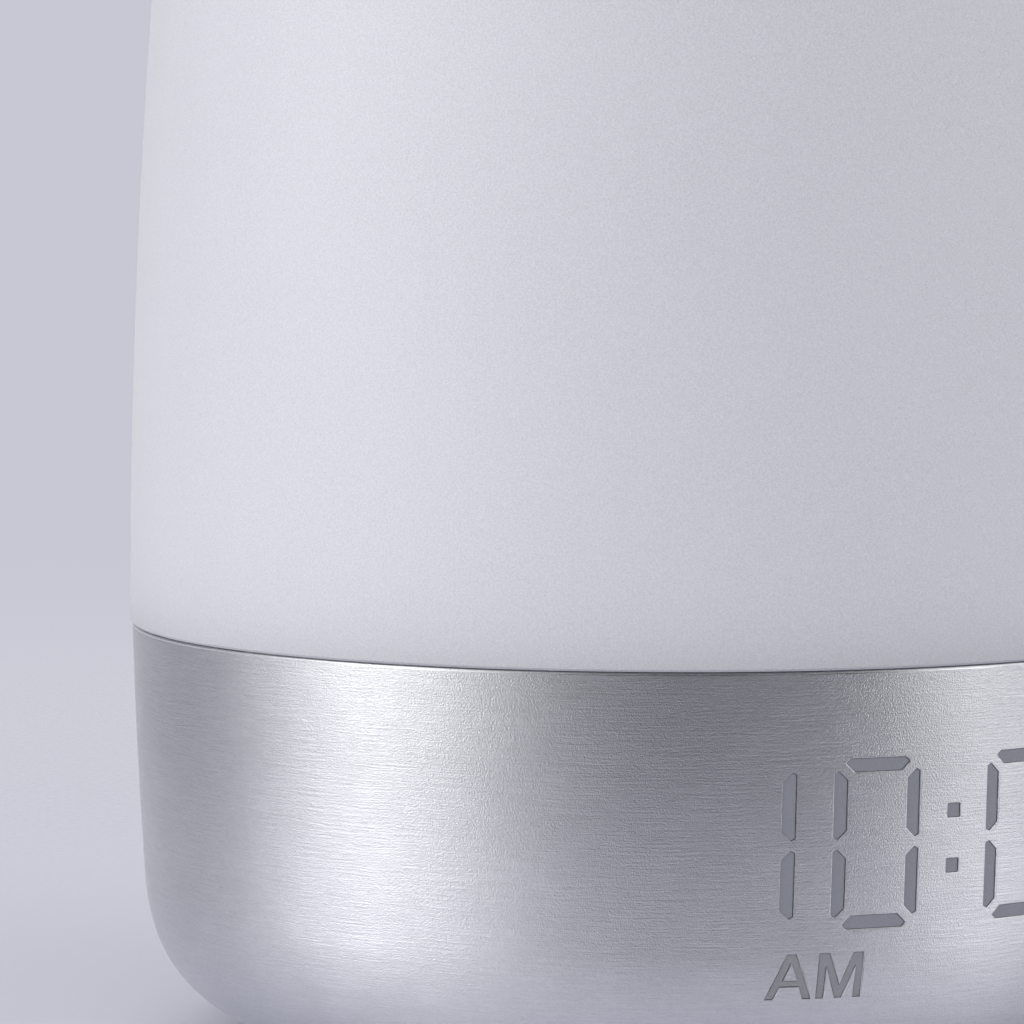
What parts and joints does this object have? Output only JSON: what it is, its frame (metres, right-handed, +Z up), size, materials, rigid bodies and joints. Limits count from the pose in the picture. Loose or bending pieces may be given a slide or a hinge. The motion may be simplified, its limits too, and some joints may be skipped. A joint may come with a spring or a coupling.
{
  "type": "sunrise alarm clock",
  "caption": "Bedside sunrise alarm clock: brushed metal cup with cut-through seven-segment display under a tall frosted light dome.",
  "frame": {"origin": "centre of the rest plane, under the foot ring", "axes": "+Z up along the dome's axis, the display faces -Y, +X to the right as seen from the front"},
  "size_m": [0.12, 0.1201, 0.177],
  "materials": {
    "brushed_aluminium": "circumferentially brushed, satin",
    "frosted_diffuser": "fine frosted satin, milky white",
    "smoked_lens": "satin grey translucent",
    "white_plastic": "moulded, matt",
    "black_plastic": "fine spark-eroded texture",
    "key_plastic": "moulded, satin",
    "button_plastic": "fine frosted satin",
    "switch_plunger": "moulded",
    "ivory_plastic": "moulded",
    "chip_black": "moulded resin",
    "capacitor_sleeve": "shrink sleeve",
    "circuit_board": "solder mask",
    "white_board": "white solder mask",
    "led_package": "phosphor yellow in a white frame",
    "steel": "zinc plated",
    "cell_steel": "nickel plated",
    "gold_contact": "plated",
    "copper": "enamelled winding",
    "magnet_ferrite": "sintered",
    "cone_paper": "pressed pulp",
    "dark_rubber": "matt",
    "foam": "open cell",
    "ribbon_cable": "flat cable",
    "wire_red": "insulated",
    "wire_black": "insulated",
    "column_aluminium": "extruded, bright"
  },
  "bodies": {
    "clock": {"metal_cup": "brushed_aluminium", "letter_insert": "brushed_aluminium", "diffuser_dome": "frosted_diffuser", "seam_gasket": "dark_rubber", "display_lens": "smoked_lens", "display_mask": "white_plastic", "display_leds": "led_package", "display_board": "circuit_board", "inner_chassis": "black_plastic", "light_deck": "white_plastic", "cover_screws": "steel", "deck_screws": "steel", "main_board": "circuit_board", "board_chips": "chip_black", "board_capacitors": "capacitor_sleeve", "board_sockets": "ivory_plastic", "key_board": "circuit_board", "key_header": "gold_contact", "key_switches": "chip_black", "dc_jack": "black_plastic", "bottom_cover": "black_plastic", "foot_ring": "dark_rubber", "speaker_gasket": "foam", "speaker_frame": "steel", "speaker_magnet": "magnet_ferrite", "speaker_yoke": "steel", "speaker_surround": "dark_rubber", "battery_holder": "black_plastic", "coin_cell": "cell_steel", "battery_contact": "gold_contact", "led_column": "column_aluminium", "led_strips": "white_board", "led_packages": "led_package", "column_cap": "white_plastic", "snooze_board": "circuit_board", "snooze_switch": "chip_black", "display_ribbon": "ribbon_cable", "column_leads": "wire_red", "speaker_leads": "wire_black"},
    "snooze_key": {"snooze_button": "button_plastic", "snooze_plunger": "switch_plunger"},
    "cell_door": {"battery_door": "black_plastic"},
    "speaker_coil": {"speaker_cone": "cone_paper", "voice_coil": "copper"},
    "time_key": {"key_time": "key_plastic", "plunger_time": "switch_plunger"},
    "alarm_key": {"key_alarm": "key_plastic", "plunger_alarm": "switch_plunger"},
    "minus_key": {"key_minus": "key_plastic", "plunger_minus": "switch_plunger"},
    "plus_key": {"key_plus": "key_plastic", "plunger_plus": "switch_plunger"},
    "light_key": {"key_light": "key_plastic", "plunger_light": "switch_plunger"}
  },
  "joints": [
    {"name": "time_press", "type": "slide", "parent": "clock", "child": "time_key", "axis": [0, -1, 0], "range_m": [0, 0.0005], "stiffness_N_per_m": 1600},
    {"name": "alarm_press", "type": "slide", "parent": "clock", "child": "alarm_key", "axis": [0, -1, 0], "range_m": [0, 0.0005], "stiffness_N_per_m": 1600},
    {"name": "minus_press", "type": "slide", "parent": "clock", "child": "minus_key", "axis": [0, -1, 0], "range_m": [0, 0.0005], "stiffness_N_per_m": 1600},
    {"name": "plus_press", "type": "slide", "parent": "clock", "child": "plus_key", "axis": [0, -1, 0], "range_m": [0, 0.0005], "stiffness_N_per_m": 1600},
    {"name": "light_press", "type": "slide", "parent": "clock", "child": "light_key", "axis": [0, -1, 0], "range_m": [0, 0.0005], "stiffness_N_per_m": 1600},
    {"name": "snooze_press", "type": "slide", "parent": "clock", "child": "snooze_key", "axis": [0, 0, -1], "range_m": [0, 0.0008], "stiffness_N_per_m": 2000},
    {"name": "door_turn", "type": "hinge", "parent": "clock", "child": "cell_door", "pos_m": [0, 0.0265, 0.003], "axis": [0, 0, 1], "range_deg": [0, 90]},
    {"name": "cone_stroke", "type": "slide", "parent": "clock", "child": "speaker_coil", "axis": [0, 0, 1], "range_m": [-0.0008, 0.0008], "stiffness_N_per_m": 1000, "deforming": ["speaker_surround"]}
  ]
}
